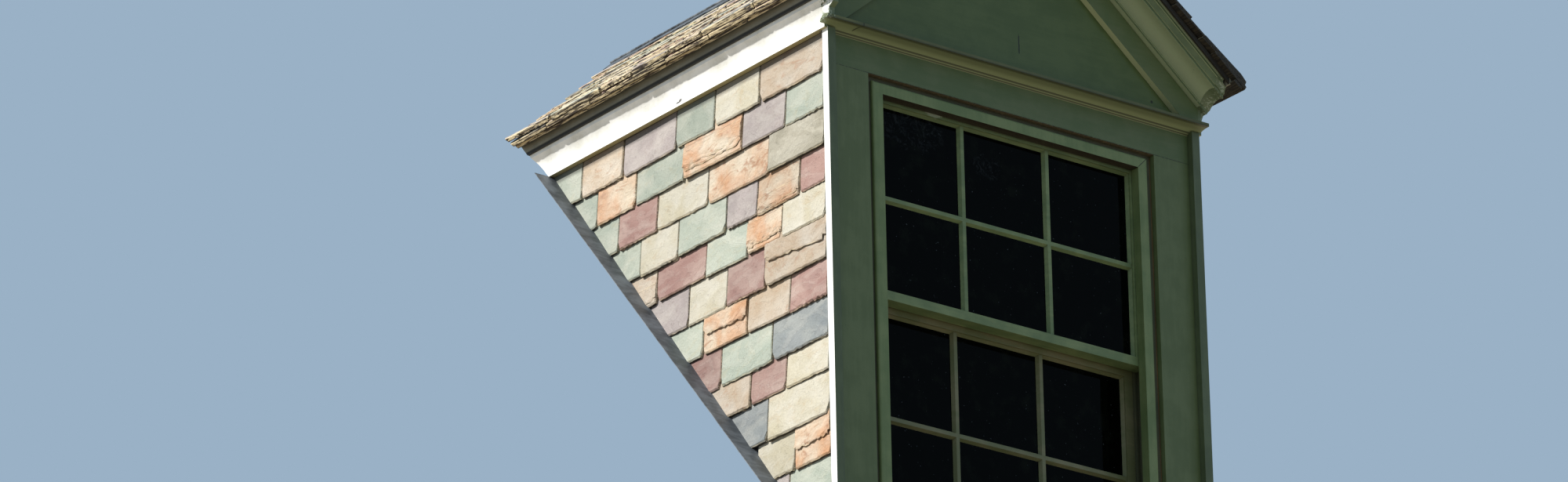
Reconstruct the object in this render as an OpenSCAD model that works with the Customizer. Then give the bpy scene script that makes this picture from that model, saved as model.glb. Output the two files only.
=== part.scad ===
// Gabled dormer with a six-over-six sash window, slate cheeks and a moulded pediment.
// Millimetres. X runs across the front, Y runs back into the roof and Z is up. The origin is the
// middle of the front kerb's sloping underside, where the dormer bears on the roof timbers.

/* [Slopes] */
// Slope of the main roof that the dormer stands on, in degrees
main_pitch = 50.5; // [46:0.5:54]
// Slope of the dormer's own gable roof, in degrees
gable_pitch = 39.5; // [37:0.5:44]

/* [Front wall] */
// Width of the window opening between the side casings
opening_w = 1056; // [960:2:1200]
// Width of a side casing
casing_w = 132; // [110:1:160]
// Thickness of casing, frieze and tympanum boards
board_t = 19; // [16:1:22]
// Width of a corner board, seen from the front
corner_w = 28; // [24:1:36]
// Width of a corner board, seen from the side
corner_d = 26; // [24:1:32]
// How far the casings lie behind the corner boards' face
casing_recess = 22; // [16:1:24]
// Height of the frieze board between the window opening and the cornice
frieze_h = 87; // [60:1:120]
// Thickness of the wall's studs, square to the wall
stud_d = 89; // [80:1:100]
// Thickness of studs, rafters and kerb
stud_t = 38; // [32:1:45]
// Thickness of the cheek boarding
boarding_t = 19; // [16:1:22]
// Height of the kerb's top over the origin
kerb_top = 88; // [80:1:120]

/* [Window] */
// Thickness of the sill at its inner edge
sill_t = 41; // [35:1:50]
// Thickness of the sill's nose
sill_nose_t = 32; // [26:1:36]
// How far the sill's nose stands in front of the corner boards
sill_reach = 34; // [20:1:50]
// Fall of the sill from the sash to its nose
sill_fall = 20; // [12:1:26]
// Thickness of the jambs and head of the window frame
jamb_t = 22; // [18:1:26]
// Width of the mitred stop round the sashes
stop_w = 36; // [30:1:40]
// Width of the sunk channel between the casing and the stop
channel_w = 20; // [14:1:24]
// How far the stop stands in front of the frame's edge
stop_proud = 13; // [8:1:17]
// Thickness of a sash
sash_t = 44; // [38:1:50]
// Width of the parting bead between the two sashes
parting_w = 12; // [10:1:16]
// How far the parting bead stands out of the jamb
parting_proud = 9; // [6:1:9]
// Width of the stop inside the lower sash
inner_stop_w = 12; // [10:1:20]
// Clearance of a sash in its channel, on each side
sash_play = 2; // [1:0.5:3]
// Width of a sash stile
stile_w = 43; // [40:1:52]
// Height of the upper sash's top rail
top_rail_h = 51; // [40:1:60]
// Height of the upper sash's meeting rail
meeting_rail_h = 34; // [28:1:44]
// Height of the lower sash's meeting rail
lower_meeting_h = 55; // [40:1:64]
// Height of the lower sash's bottom rail
bottom_rail_h = 62; // [54:1:90]
// Width of a glazing bar at the glass
bar_w = 24; // [20:1:28]
// Width of a glazing bar at its outer edge
bar_nose_w = 12; // [8:1:16]
// Height of the upper sash's top panes
top_pane_h = 273; // [240:1:300]
// Height of the upper sash's lower panes
upper_pane_h = 267; // [240:1:300]
// Height of the lower sash's upper panes
lower_pane_h = 298; // [260:1:320]
// Height of the lower sash's bottom panes
foot_pane_h = 271; // [240:1:300]
// Panes side by side in a sash
panes_across = 3; // [2:1:4]
// Thickness of the glass
glass_t = 4; // [3:1:6]

/* [Roof] */
// Thickness of the roof boarding
deck_t = 19; // [16:1:25]
// Depth of the rafters, square to the slope
rafter_d = 89; // [80:1:110]
// Spacing of rafters and cheek studs
stud_gap = 400; // [350:10:600]
// Height of the plate on top of the walls
plate_h = 76; // [60:1:90]
// Width of the ridge board
ridge_board_w = 38; // [32:1:45]
// Height of the ridge board
ridge_board_h = 140; // [120:5:180]
// How far the roof slates reach beyond the corner boards at the eaves
eave_reach = 72; // [66:1:100]
// How far the roof slates reach in front of the corner boards
rake_reach = 134; // [124:1:160]
// Exposed height of a course of roof slates
roof_course = 133; // [115:1:150]
// Thickness of two lapped slates at a butt
slate_butt = 20; // [16:1:24]
// Thickness of the slates just under the next butt
slate_thin = 12; // [9:1:14]
// Width of one flange of the metal ridge cap
ridge_flange = 85; // [70:1:140]
// Thickness of the sheet metal in the ridge cap and flashings
sheet_t = 2; // [1.5:0.5:3]
// Radius of the ridge cap's roll
ridge_roll_r = 6; // [5:1:20]

/* [Cheek slates] */
// Exposed height of a course of cheek slates
cheek_course = 116; // [100:1:130]
// Thickness of the cheek slates at a butt
cheek_butt = 18; // [15:1:20]
// Thickness of the cheek slates just under the next butt
cheek_thin = 10; // [8:1:12]
// How far the slate butts lie behind the corner board's side
cheek_inset = 4; // [2:1:6]
// Width of the flashing's leg on the roof
flashing_leg = 62; // [50:1:66]
// Height of the flashing's upstand, square to the roof
flashing_up = 100; // [80:1:140]
// Length of the apron flashing down the roof
apron_len = 140; // [100:5:180]

/* [Mouldings] */
// Height of the horizontal cornice
cornice_h = 41; // [36:1:50]
// How far the horizontal cornice stands out of the casings
cornice_reach = 59; // [50:1:66]
// How far the cornice runs past the left corner board
cornice_left_run = 26; // [4:1:36]
// How far the cornice runs past the right corner board
cornice_right_run = 8; // [4:1:36]
// Thickness of the raking frieze
rake_frieze_t = 20; // [16:1:24]
// Height of the raking frieze down to its lower edge, below the slates
rake_frieze_drop = 141; // [120:1:170]
// Depth of the raking crown below the slates
rake_crown_h = 68; // [62:1:76]
// How far the raking crown stands out of the raking frieze
rake_crown_reach = 108; // [96:1:116]
// Thickness of the fascia board at the eaves, out of the cheek boarding
fascia_t = 32; // [26:1:38]
// Height of the fascia and its crown
fascia_h = 88; // [76:1:100]
// How far the eaves crown stands out of the fascia
eave_crown_reach = 18; // [14:1:22]
// How far the fascia's foot lies above the cornice's foot
fascia_lift = 8; // [0:1:14]
// Height of the slates' lower edge over the crown
eave_lift = 25; // [20:1:32]
// How far the raking crowns run past the fascias
crown_run_past = 6; // [2:1:10]
// Height of the metal drip under the slates in front of the wall
drip_lip = 14; // [10:1:20]
// How far the left fascia's end board stands out over the cornice
end_board_reach = 30; // [24:1:36]
// Thickness of the end of the raking crown that returns along the eaves
crown_end_t = 20; // [16:1:24]
// Height of the first course's butt below the fascia
first_course = 121; // [80:1:140]
// Thickness of the cornice where it runs past a corner
cornice_end_t = 16; // [12:1:24]
// How much of the sashes' top rail the stop covers
head_cover = 35; // [30:1:40]
// Thickness of the drip board
drip_t = 7; // [5:1:10]

/* [Hidden] */
// Longer than the part, for cutting pieces and pieces cut to length
far = 3000;
// Plan: half widths from the middle, and depths from the origin
half_w = opening_w / 2 + casing_w + corner_w;
board_edge = half_w - corner_w;
slate_back = half_w - cheek_inset - cheek_butt;
stud_out = slate_back - boarding_t;
stud_in = stud_out - stud_d;
jamb_out = opening_w / 2 - 3;
jamb_in = jamb_out - jamb_t;
wall_y = -stud_t / 2;
casing_y = wall_y - board_t;
front_y = casing_y - casing_recess;
tongue_w = 6;
post_back = wall_y + stud_d;
sash_y = wall_y + 19;
lower_sash_y = sash_y + sash_t + parting_w;
frame_back = lower_sash_y + sash_t + inner_stop_w - 7;
// Levels over the origin
sash_foot = kerb_top + sill_t;
lower_sash_h = bottom_rail_h + foot_pane_h + bar_w + lower_pane_h + lower_meeting_h;
meeting_top = sash_foot + lower_sash_h;
upper_sash_foot = meeting_top - meeting_rail_h;
upper_sash_h = meeting_rail_h + upper_pane_h + bar_w + top_pane_h + top_rail_h;
sash_top = upper_sash_foot + upper_sash_h;
head_under = sash_top + sash_play;
stop_in = opening_w / 2 - channel_w - stop_w;
stop_out = stop_in + stop_w;
stop_head = sash_top - head_cover;
opening_top = stop_head + stop_w + channel_w - 6;
cornice_foot = opening_top + frieze_h;
cornice_top = cornice_foot + cornice_h;
corner_top = cornice_foot + 12;
soffit_z = cornice_foot + fascia_lift;
crown_top = soffit_z + fascia_h;
eave_z = crown_top + eave_lift;
ridge_z = eave_z + (half_w + eave_reach) * tan(gable_pitch);
// A board on the slope is thicker when it is measured straight up
deck_drop = deck_t / cos(gable_pitch);
rafter_drop = (deck_t + rafter_d) / cos(gable_pitch);
seat_cut = 41;
plate_top = roof_line(stud_out - seat_cut) - rafter_drop;
fascia_out = slate_back + fascia_t;
crown_end = fascia_out + crown_run_past;
crown_out = fascia_out + eave_crown_reach;
frieze_y = casing_y - rake_frieze_t;
crown_front = frieze_y - rake_crown_reach;
deck_front = crown_front + 22;
slate_front = front_y - rake_reach;
glass_in = 16;

// Height of the slates' underside at a distance from the middle
function roof_line(x) = ridge_z - abs(x) * tan(gable_pitch);

// Everything below the plane of the main roof's timbers, raised by some height square to it
module under_seat(raise = 0) {
    rotate([main_pitch, 0, 0])
        translate([-far, -far, raise - far]) cube([2 * far, 3 * far, far]);
}

// Slab on the main roof's slope between two heights square to it
module seat_slab(low, high) {
    rotate([main_pitch, 0, 0])
        translate([-far, -far, low]) cube([2 * far, 3 * far, high - low]);
}

// A profile of depths and heights run across the front
module run_across(x0, x1) {
    translate([x0, 0, 0]) rotate([90, 0, 90]) linear_extrude(x1 - x0) children();
}

// A profile of widths and heights run from front to back
module run_back(y0, y1) {
    translate([0, y1, 0]) rotate([90, 0, 0]) linear_extrude(y1 - y0) children();
}

// A box from its low and high corners
module block(low, high) {
    translate(low) cube(high - low);
}

// Works on the right-hand slope: X runs down it and Z is square to it, from the slates' underside
module on_slope() {
    translate([0, 0, ridge_z]) rotate([0, gable_pitch, 0]) children();
}

// The left side mirrors the right one
module on_left() {
    mirror([1, 0, 0]) children();
}

// Structure

module front_kerb() {
    color("#b58f5d") difference() {
        block([-stud_out, wall_y, -far / 4], [stud_out, -wall_y, kerb_top]);
        under_seat();
    }
}

module front_frame() {
    color("#b58f5d") difference() {
        union() {
            for (side = [-1, 1]) scale([side, 1, 1])
                block([jamb_out, wall_y, -far / 4], [stud_out, post_back, plate_top]);
            block([-jamb_out, wall_y, head_under + jamb_t], [jamb_out, post_back, plate_top]);
        }
        block([-far, -far, -far], [far, -wall_y, kerb_top]);
        under_seat();
    }
}

module cheek_frame() {
    color("#b58f5d") difference() {
        union() {
            block([stud_in, post_back, plate_top - plate_h], [stud_out, far, plate_top]);
            for (y = [post_back + stud_gap : stud_gap : far / 2])
                block([stud_in, y, 0], [stud_out, y + stud_t, plate_top - plate_h / 2]);
            intersection() {
                seat_slab(0, stud_t);
                block([stud_in, post_back, 0], [stud_out, far, plate_top]);
            }
        }
        under_seat();
    }
}

module roof_frame() {
    color("#b58f5d") difference() {
        union() {
            block([-ridge_board_w / 2, wall_y, roof_line(ridge_board_w / 2) - deck_drop - ridge_board_h],
                [ridge_board_w / 2, far, roof_line(ridge_board_w / 2) - deck_drop]);
            for (side = [0, 1]) mirror([side, 0, 0]) for (y = [wall_y : stud_gap : far]) intersection() {
                on_slope() block([-rafter_d, y, -deck_t - rafter_d], [far, y + stud_t, -deck_t]);
                block([0, y, 0], [slate_back, y + stud_t, far]);
            }
        }
        block([-stud_out, -far, -far], [stud_out, far, plate_top]);
        under_seat();
    }
}

module cheek_boarding() {
    color("#a9865a") difference() {
        block([stud_out, wall_y, -far / 4], [slate_back, far, roof_line(slate_back) - rafter_drop - 1]);
        under_seat();
    }
}

module roof_boarding() {
    color("#a9865a") difference() {
        intersection() {
            on_slope() block([-deck_t, deck_front, -deck_t], [far, far, 0]);
            block([0, -far, 0], [crown_out, far, far]);
        }
        under_seat();
    }
}

// Slates

// Saw-tooth section of lapped courses: butts stand proud at every course
function saw(count, course, butt, thin) = [for (i = [0 : count - 1], j = [0 : 1])
    [i * course + j * course, j == 0 ? butt : thin]];

module cheek_slates() {
    count = ceil((soffit_z + far / 4) / cheek_course) + 1;
    top = soffit_z - 1;
    points = concat([[0, 0]], saw(count, cheek_course, cheek_butt, cheek_thin), [[count * cheek_course, 0]]);
    color("#b3a78c") difference() {
        intersection() {
            translate([slate_back, 0, cheek_foot()]) rotate([90, 0, 0]) translate([0, 0, -far])
                linear_extrude(far - wall_y) polygon([for (p = points) [p[1], p[0]]]);
            block([slate_back + sheet_t, front_y + corner_d, -far], [half_w, far, top]);
        }
        block([board_edge, -far, -far], [board_edge + tongue_w + 0.5, wall_y, far]);
        under_seat(sheet_t);
    }
}

// Courses are set out downwards from the first butt under the eaves
function cheek_foot() = soffit_z - first_course - ceil((soffit_z + far / 4) / cheek_course) * cheek_course;

module roof_slates() {
    length = (half_w + eave_reach) / cos(gable_pitch);
    count = ceil(length / roof_course) + 1;
    points = concat([[0, 0]], saw(count, roof_course, slate_butt, slate_thin), [[count * roof_course, 0]]);
    color("#8f8a74") difference() {
        intersection() {
            on_slope() translate([length, far, 0]) rotate([90, 0, 0]) linear_extrude(far - slate_front)
                polygon([for (p = points) [-p[0], p[1]]]);
            block([0, -far, 0], [far, far, 2 * far]);
        }
        under_seat();
    }
}

module ridge_cap() {
    top = slate_butt / cos(gable_pitch);
    reach = ridge_flange * cos(gable_pitch);
    drop = ridge_flange * sin(gable_pitch);
    sheet = sheet_t / cos(gable_pitch);
    color("#2d2c2a") difference() {
        translate([0, 0, ridge_z + top]) run_back(slate_front, far) union() {
            polygon([[0, 0], [reach, -drop], [reach, -drop + sheet], [0, sheet],
                [-reach, -drop + sheet], [-reach, -drop]]);
            intersection() {
                translate([0, ridge_roll_r * 0.4]) circle(r = ridge_roll_r, $fn = 64);
                polygon([[0, 0], [reach, -drop], [reach, far], [-reach, far], [-reach, -drop]]);
            }
        }
        under_seat();
    }
}

// Front boards

module corner_board() {
    color("#42533d") difference() {
        union() {
            block([board_edge, front_y, -far / 4], [half_w, front_y + corner_d, corner_top]);
            block([board_edge, front_y, -far / 4], [board_edge + tongue_w, wall_y, corner_top]);
        }
        under_seat(sheet_t);
    }
}

module casing() {
    color("#42533d") difference() {
        block([opening_w / 2, casing_y, kerb_top], [board_edge, wall_y, opening_top]);
        sill_body();
    }
}

module head_frieze() {
    color("#42533d") union() {
        block([-board_edge, casing_y, opening_top], [board_edge, wall_y, cornice_top]);
        block([-half_w, casing_y, corner_top], [half_w, wall_y, cornice_top]);
    }
}

module tympanum_board() {
    top = ridge_z - deck_drop;
    side = roof_line(half_w) - deck_drop;
    color("#3f503b") run_back(casing_y, wall_y)
        polygon([[-half_w, cornice_top], [half_w, cornice_top], [half_w, side], [0, top], [-half_w, side]]);
}

module apron_board() {
    color("#42533d") difference() {
        block([-board_edge, casing_y, -far / 4], [board_edge, wall_y, kerb_top]);
        sill_body();
        under_seat(sheet_t);
    }
}

// Mouldings

// Two quirked fillets, a cove and a square nose, seen in section: depths grow forward
module cornice_profile() {
    nose = 10;
    flat = 8;
    cove_x = cornice_reach - 9;
    cove_foot = 12;
    cove_rise = cornice_h - nose - flat - cove_foot;
    cove_run = cove_x - 11;
    cove_r = (cove_run * cove_run + cove_rise * cove_rise) / (2 * cove_rise);
    difference() {
        polygon([[0, 0], [4, 0], [4, 5], [9, 5], [9, 10], [11, 10], [11, cove_foot],
            [cove_x, cove_foot], [cove_x, cornice_h - nose - flat], [cornice_reach, cornice_h - nose - flat],
            [cornice_reach, cornice_h - flat], [rake_frieze_t + 4, cornice_h], [0, cornice_h]]);
        translate([cove_x, cove_foot + cove_rise - cove_r]) circle(r = cove_r, $fn = 96);
    }
}

module horizontal_cornice() {
    color("#5c5f3c") difference() {
        translate([0, casing_y, cornice_foot]) mirror([0, 1, 0])
            run_across(-half_w - cornice_left_run, half_w + cornice_right_run) cornice_profile();
        for (side = [0, 1]) mirror([side, 0, 0]) {
            block([board_edge, -far, 0], [half_w, far, corner_top]);
            block([half_w, frieze_y, 0], [far, far, far]);
            run_across(half_w, far) polygon([[casing_y, cornice_foot + cornice_end_t / 2],
                [casing_y - cornice_reach + cornice_end_t, cornice_top + 1], [far, cornice_top + 1]]);
        }
    }
}

// Section of the raking crown: depth forward of the frieze, height square to the slope
module rake_crown_profile() {
    foot = -rake_crown_h;
    lip = 16;
    lip_h = 6;
    fillet = 4;
    cove_end = rake_crown_reach - 28;
    cove_top = foot + 26;
    bead_top = cove_top + 22;
    cove_r = 62;
    chord = [cove_end - lip, cove_top - foot - lip_h];
    sag = sqrt(cove_r * cove_r - norm(chord) * norm(chord) / 4);
    difference() {
        polygon([[0, foot], [lip, foot], [lip, foot + lip_h], [cove_end, cove_top],
            [cove_end + fillet, cove_top], [cove_end + fillet, cove_top + 7],
            [cove_end + 2 * fillet, cove_top + 7], [cove_end + 4 * fillet, bead_top],
            [cove_end + 5 * fillet, bead_top], [cove_end + 5 * fillet, bead_top + 6],
            [rake_crown_reach, bead_top + 14], [rake_crown_reach, 0],
            [frieze_y - deck_front, 0], [frieze_y - deck_front, -deck_t], [0, -deck_t]]);
        intersection() {
            translate([(lip + cove_end) / 2, (foot + lip_h + cove_top) / 2]
                    + sag * [chord[1], -chord[0]] / norm(chord))
                circle(r = cove_r, $fn = 96);
            translate([lip + 2, foot - cove_r]) square([cove_end - lip - 2, 2 * cove_r]);
        }
    }
}

// The raking crown's run between two distances from the middle, with a tongue at its back
module crown_run(from, to, tongue = 0) {
    intersection() {
        on_slope() translate([0, frieze_y, 0]) mirror([0, 1, 0]) run_across(-far / 2, far) union() {
            rake_crown_profile();
            if (tongue > 0) translate([-tongue, -rake_crown_h]) square([tongue + 1, rake_crown_h - deck_t]);
        }
        block([from, -far, 0], [to, far, 2 * far]);
    }
}

module raking_crown() {
    color("#4d6047") crown_run(0, crown_end - crown_end_t);
}

module rake_frieze() {
    color("#42533d") intersection() {
        on_slope() block([-far / 2, frieze_y, -rake_frieze_drop], [far, casing_y, -deck_t]);
        block([0, -far, cornice_top], [half_w, far, 2 * far]);
    }
}

// Section of the eaves: fascia, cove and fillet, as widths from the middle
module eave_profile() {
    cove_foot = soffit_z + 24;
    cove_top = crown_top - 14;
    run = eave_crown_reach - 2;
    rise = cove_top - cove_foot;
    cove_r = (run * run + rise * rise) / (2 * run);
    difference() {
        polygon([[slate_back, soffit_z], [fascia_out, soffit_z], [fascia_out, cove_foot],
            [crown_out - 2, cove_foot], [crown_out - 2, cove_top], [crown_out, cove_top],
            [crown_out, roof_line(crown_out) - deck_drop],
            [slate_back, roof_line(slate_back) - deck_drop]]);
        translate([fascia_out + cove_r, cove_foot]) circle(r = cove_r, $fn = 96);
    }
}

// The fascia runs on in front of the wall as the raking crown's end, and its crown is mitred to it.
// On the left this end is closed down to the cornice
module eave_cornice(closed) {
    end_foot = cornice_h - 6;
    color("#e4e7ea") difference() {
        union() {
            run_back(frieze_y, far) eave_profile();
            crown_run(crown_end - crown_end_t, crown_end, tongue = crown_run_past);
            intersection() {
                run_back(crown_front, frieze_y + 1) eave_profile();
                crown_run(fascia_out - 1, crown_out, tongue = crown_run_past);
            }
            if (closed) intersection() {
                run_across(crown_end - crown_end_t, crown_end)
                    polygon([[frieze_y, cornice_top], [frieze_y - 4, cornice_top],
                        [frieze_y - end_board_reach, cornice_foot + end_foot],
                        [frieze_y - end_board_reach - 1, cornice_top + 17],
                        [frieze_y - end_board_reach - 20, cornice_top + 28],
                        [frieze_y - end_board_reach - 20, far], [frieze_y, far]]);
                on_slope() block([-far, -far, -far], [far, far, -rake_crown_h + 10]);
            }
        }
        block([0, frieze_y, 0], [half_w, wall_y, far]);
        under_seat();
    }
}

module eave_drip() {
    out = crown_out + drip_t;
    color("#3a3935") difference() {
        run_back(crown_front - drip_t, far)
            polygon([[crown_out, crown_top], [out, crown_top], [out, roof_line(out)],
                [crown_out, roof_line(crown_out)]]);
        block([0, -far, 0], [far, casing_y, roof_line(out) - drip_lip]);
        under_seat();
    }
}

module rake_drip() {
    color("#3a3935") intersection() {
        on_slope() block([-far / 2, crown_front - drip_t, -drip_lip], [far, crown_front, 0]);
        block([0, -far, 0], [crown_out, far, 2 * far]);
    }
}

// Window

module window_sill() {
    color("#42533d") difference() {
        sill_body();
        under_seat();
    }
}

// The whole sill, which is also cut out of what stands on it
module sill_body() {
    nose_y = front_y - sill_reach;
    top_z = sash_foot - sill_fall;
    difference() {
        run_across(-half_w - 8, half_w + 8)
            polygon([[nose_y, top_z - sill_nose_t], [nose_y, top_z], [lower_sash_y, sash_foot],
                [frame_back, sash_foot], [frame_back, kerb_top], [wall_y, kerb_top],
                [casing_y, kerb_top - 3], [nose_y + 14, top_z - sill_nose_t]]);
        for (side = [0, 1]) mirror([side, 0, 0]) {
            block([board_edge, front_y, 0], [far, far, far]);
            block([jamb_out, wall_y, 0], [far, far, far]);
        }
    }
}

module window_frame() {
    color("#3c4431") difference() {
        union() {
            for (side = [0, 1]) mirror([side, 0, 0]) {
                block([jamb_in, wall_y, kerb_top], [jamb_out, frame_back, head_under + jamb_t]);
                block([jamb_in - parting_proud, sash_y + sash_t, kerb_top],
                    [jamb_in, lower_sash_y, head_under]);
                block([jamb_in - 16, lower_sash_y + sash_t, kerb_top], [jamb_in, frame_back, head_under]);
            }
            block([-jamb_in, wall_y, head_under], [jamb_in, frame_back, head_under + jamb_t]);
            block([-jamb_in, sash_y + sash_t, head_under - parting_proud], [jamb_in, lower_sash_y, head_under]);
        }
        sill_body();
        under_seat();
    }
}

// Section of the stop, from its inner edge outwards: flat face, rounded outer edge, rebated back
module stop_profile() {
    round_r = 7;
    back = jamb_in - stop_in;
    face = wall_y - stop_proud;
    union() {
        block2([0, face], [stop_w - round_r, sash_y - 1], back);
        translate([stop_w - round_r, face + round_r]) circle(r = round_r, $fn = 48);
        polygon([[0, face + round_r], [stop_w, face + round_r], [stop_w, wall_y], [0, wall_y]]);
    }
}

// A face strip and the tongue behind it that stops the upper sash
module block2(low, high, back) {
    polygon([low, [high[0], low[1]], [high[0], wall_y], [back, wall_y], [back, high[1]], [low[0], high[1]]]);
}

// A mitred corner: keeps what lies on the head's side or on the jamb's side of the diagonal
module mitre(head) {
    span = far;
    rotate([90, 0, 0]) translate([stop_in, stop_head, -far / 2]) linear_extrude(far)
        polygon(head ? [[0, 0], [span, span], [-span, span], [-span, 0]] : [[0, 0], [span, span], [span, -span], [0, -span]]);
}

module stop_frame() {
    color("#46583f") difference() {
        union() {
            for (side = [0, 1]) mirror([side, 0, 0]) {
                intersection() {
                    translate([stop_in, 0, kerb_top]) linear_extrude(stop_head + stop_w - kerb_top) stop_profile();
                    mitre(false);
                }
                intersection() {
                    translate([0, 0, stop_head]) rotate([90, 0, 90]) linear_extrude(stop_out)
                        mirror([1, -1]) stop_profile();
                    mitre(true);
                }
            }
        }
        sill_body();
    }
}

// Section of a glazing bar: putty slope outside, thin core between panes, moulded edge inside
module bar_profile(depth) {
    half = bar_w / 2;
    core = half - 7;
    nose = bar_nose_w / 2;
    polygon([[-nose, 5], [nose, 5], [half, glass_in], [core, glass_in], [core, glass_in + glass_t],
        [half, glass_in + glass_t], [half, glass_in + glass_t + 6], [nose, depth - 4], [-nose, depth - 4],
        [-half, glass_in + glass_t + 6], [-half, glass_in + glass_t], [-core, glass_in + glass_t],
        [-core, glass_in], [-half, glass_in]]);
}

// Section of a stile or rail, from its outer edge to its moulded inner edge
module rail_profile(width) {
    slope = (bar_w - bar_nose_w) / 2;
    polygon([[0, 0], [width - slope, 0], [width - slope, 5], [width, glass_in], [width - 7, glass_in],
        [width - 7, glass_in + glass_t], [width, glass_in + glass_t], [width, glass_in + glass_t + 6],
        [width - slope, sash_t - 4], [width - slope, sash_t], [0, sash_t]]);
}

sash_half = jamb_in - sash_play;
sight_half = sash_half - stile_w;
pane_w = (2 * sight_half - (panes_across - 1) * bar_w) / panes_across;

// A sash: rails gives the heights of its bottom and top rail, panes those of its rows
module sash(rails, panes) {
    height = rails[0] + panes[0] + bar_w + panes[1] + rails[1];
    for (side = [0, 1]) mirror([side, 0, 0])
        translate([sash_half, 0, 0]) mirror([1, 0, 0]) linear_extrude(height) rail_profile(stile_w);
    run_across(-sash_half, sash_half) mirror([1, -1]) rail_profile(rails[0]);
    translate([0, 0, height]) mirror([0, 0, 1])
        run_across(-sash_half, sash_half) mirror([1, -1]) rail_profile(rails[1]);
    for (i = [1 : panes_across - 1])
        translate([-sight_half + i * (pane_w + bar_w) - bar_w / 2, 0, rails[0] - 8])
            linear_extrude(height - rails[0] - rails[1] + 16) bar_profile(sash_t);
    translate([0, 0, rails[0] + panes[0] + bar_w / 2])
        run_across(-sight_half - 8, sight_half + 8) mirror([1, -1]) bar_profile(sash_t);
}

// The panes of a sash, each let 6 mm into the rebates behind the putty
module panes(foot, heights) {
    edge = 6;
    for (i = [0 : panes_across - 1], row = [0, 1])
        let (x = -sight_half + i * (pane_w + bar_w), z = foot + row * (heights[0] + bar_w))
            block([x - edge, glass_in, z - edge], [x + pane_w + edge, glass_in + glass_t, z + heights[row] + edge]);
}

module upper_sash() {
    color("#46583f") translate([0, sash_y, upper_sash_foot])
        sash([meeting_rail_h, top_rail_h], [upper_pane_h, top_pane_h]);
}

module lower_sash() {
    color("#3b3f30") translate([0, lower_sash_y, sash_foot])
        sash([bottom_rail_h, lower_meeting_h], [foot_pane_h, lower_pane_h]);
}

module upper_glass() {
    color("#10140f") translate([0, sash_y, upper_sash_foot]) panes(meeting_rail_h, [upper_pane_h, top_pane_h]);
}

module lower_glass() {
    color("#10140f") translate([0, lower_sash_y, sash_foot]) panes(bottom_rail_h, [foot_pane_h, lower_pane_h]);
}

// Flashings

module apron_flashing() {
    fold = casing_y - sheet_t;
    low = fold - apron_len * cos(main_pitch);
    color("#5f646a") union() {
        intersection() {
            seat_slab(0, sheet_t);
            union() {
                block([-board_edge, front_y - 1, -far], [board_edge, casing_y, far]);
                block([-half_w - flashing_leg, low, -far], [half_w + flashing_leg, front_y, far]);
            }
        }
        difference() {
            block([-board_edge, fold, -far / 4], [board_edge, casing_y, kerb_top - sill_nose_t]);
            under_seat();
        }
    }
}

module cheek_flashing() {
    color("#5f646a") intersection() {
        union() {
            intersection() {
                seat_slab(0, sheet_t);
                block([slate_back, wall_y, -far], [half_w + flashing_leg, far, far]);
            }
            intersection() {
                seat_slab(0, sheet_t);
                block([half_w, front_y, -far], [half_w + flashing_leg, far, far]);
            }
            intersection() {
                seat_slab(0, flashing_up);
                block([slate_back, wall_y, -far], [slate_back + sheet_t, far, far]);
            }
        }
        block([0, -far, -far], [far, far, soffit_z]);
    }
}

front_kerb();
front_frame();
on_left() cheek_frame();  // left_cheek_frame
cheek_frame();  // right_cheek_frame
roof_frame();
on_left() cheek_boarding();  // left_cheek_boarding
cheek_boarding();  // right_cheek_boarding
on_left() roof_boarding();  // left_roof_boarding
roof_boarding();  // right_roof_boarding
on_left() cheek_slates();  // left_cheek_slates
cheek_slates();  // right_cheek_slates
on_left() roof_slates();  // left_roof_slates
roof_slates();  // right_roof_slates
ridge_cap();
on_left() corner_board();  // left_corner_board
corner_board();  // right_corner_board
on_left() casing();  // left_casing
casing();  // right_casing
head_frieze();
tympanum_board();
apron_board();
horizontal_cornice();
on_left() raking_crown();  // left_raking_crown
raking_crown();  // right_raking_crown
on_left() rake_frieze();  // left_rake_frieze
rake_frieze();  // right_rake_frieze
on_left() eave_cornice(true);  // left_eave_cornice
eave_cornice(false);  // right_eave_cornice
on_left() eave_drip();  // left_eave_drip
eave_drip();  // right_eave_drip
on_left() rake_drip();  // left_rake_drip
rake_drip();  // right_rake_drip
window_frame();
window_sill();
stop_frame();
upper_sash();
lower_sash();
upper_glass();
lower_glass();
apron_flashing();
on_left() cheek_flashing();  // left_cheek_flashing
cheek_flashing();  // right_cheek_flashing
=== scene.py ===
"""Gabled dormer: weathered paint, single slates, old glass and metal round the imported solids."""

import math
import random

import bmesh
import bpy
from mathutils import Matrix, Quaternion, Vector


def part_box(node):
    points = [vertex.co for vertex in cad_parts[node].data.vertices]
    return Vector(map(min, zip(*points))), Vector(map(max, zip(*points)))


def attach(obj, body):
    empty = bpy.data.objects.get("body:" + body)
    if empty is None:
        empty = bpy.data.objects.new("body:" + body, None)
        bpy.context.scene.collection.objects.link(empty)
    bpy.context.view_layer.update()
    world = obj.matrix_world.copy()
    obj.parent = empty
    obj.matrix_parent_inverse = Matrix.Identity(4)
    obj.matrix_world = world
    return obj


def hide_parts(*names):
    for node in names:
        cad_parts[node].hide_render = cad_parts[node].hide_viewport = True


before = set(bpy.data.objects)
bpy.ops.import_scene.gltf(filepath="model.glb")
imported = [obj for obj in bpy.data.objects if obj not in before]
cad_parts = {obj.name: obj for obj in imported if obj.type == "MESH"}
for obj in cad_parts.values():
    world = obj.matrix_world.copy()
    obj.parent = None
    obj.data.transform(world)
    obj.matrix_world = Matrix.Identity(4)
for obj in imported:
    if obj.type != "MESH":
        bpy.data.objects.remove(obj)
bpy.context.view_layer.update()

MM = 0.001


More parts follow.
